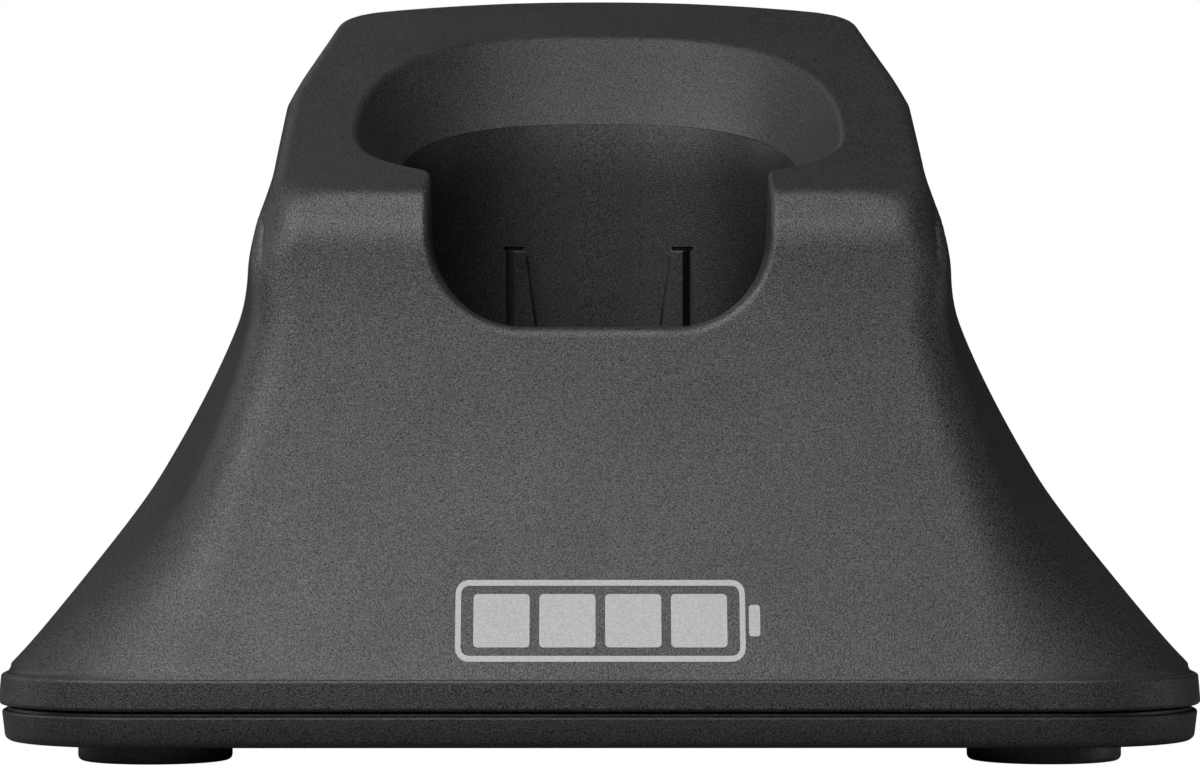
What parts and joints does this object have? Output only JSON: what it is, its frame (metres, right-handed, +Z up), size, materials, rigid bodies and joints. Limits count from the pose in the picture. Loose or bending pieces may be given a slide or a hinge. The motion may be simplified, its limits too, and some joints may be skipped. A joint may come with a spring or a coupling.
{
  "type": "hair clipper charging stand",
  "caption": "Flared desktop charging stand for a cordless hair clipper: sloping top, drop-in cup with a U notch at the front, sprung contacts, rubber feet and a rear power inlet.",
  "frame": {"origin": "middle of the footprint, on the plane that the rubber feet rest on", "axes": "+X to the right seen from the front, +Y to the back where the power inlet is, +Z up"},
  "size_m": [0.12, 0.105, 0.0818],
  "materials": {
    "housing_plastic": "fine moulded grain, black",
    "cup_plastic": "fine moulded grain, black",
    "tray_plastic": "fine moulded grain, black",
    "foot_rubber": "soft black rubber",
    "block_plastic": "glass-filled nylon",
    "contact_metal": "gold-plated",
    "spring_steel": "drawn wire",
    "ballast_steel": "zinc-plated plate",
    "screw_steel": "zinc-plated",
    "board_laminate": "solder-masked laminate",
    "capacitor_sleeve": "shrink sleeve",
    "inductor_core": "ferrite",
    "chip_epoxy": "moulded epoxy",
    "plug_nylon": "natural nylon",
    "jack_plastic": "black thermoplastic",
    "lead_red": "soft insulation",
    "lead_black": "soft insulation"
  },
  "bodies": {
    "stand": {"top_housing": "housing_plastic", "dock_cup": "cup_plastic", "base_tray": "tray_plastic", "foot_front_left": "foot_rubber", "foot_front_right": "foot_rubber", "foot_rear_left": "foot_rubber", "foot_rear_right": "foot_rubber", "contact_block": "block_plastic", "contact_barrel_left": "contact_metal", "contact_barrel_right": "contact_metal", "contact_spring_left": "spring_steel", "contact_spring_right": "spring_steel", "ballast_plate": "ballast_steel", "charge_board": "board_laminate", "capacitor": "capacitor_sleeve", "power_inductor": "inductor_core", "charge_controller": "chip_epoxy", "board_diodes": "chip_epoxy", "board_plug": "plug_nylon", "power_jack": "jack_plastic", "jack_pin": "contact_metal", "lead_positive": "lead_red", "lead_negative": "lead_black", "cup_screws": "screw_steel", "block_screws": "screw_steel", "board_screws": "screw_steel", "ballast_screws": "screw_steel", "base_screws": "screw_steel"},
    "contact_pin_left": {"contact_pin_left": "contact_metal"},
    "contact_pin_right": {"contact_pin_right": "contact_metal"}
  },
  "joints": [
    {"name": "contact_press_left", "type": "slide", "parent": "stand", "child": "contact_pin_left", "axis": [0, 0, -1], "range_m": [0, 0.002], "stiffness_N_per_m": 250, "springref_m": -0.001, "deforming": ["contact_spring_left"]},
    {"name": "contact_press_right", "type": "slide", "parent": "stand", "child": "contact_pin_right", "axis": [0, 0, -1], "range_m": [0, 0.002], "stiffness_N_per_m": 250, "springref_m": -0.001, "deforming": ["contact_spring_right"]}
  ]
}
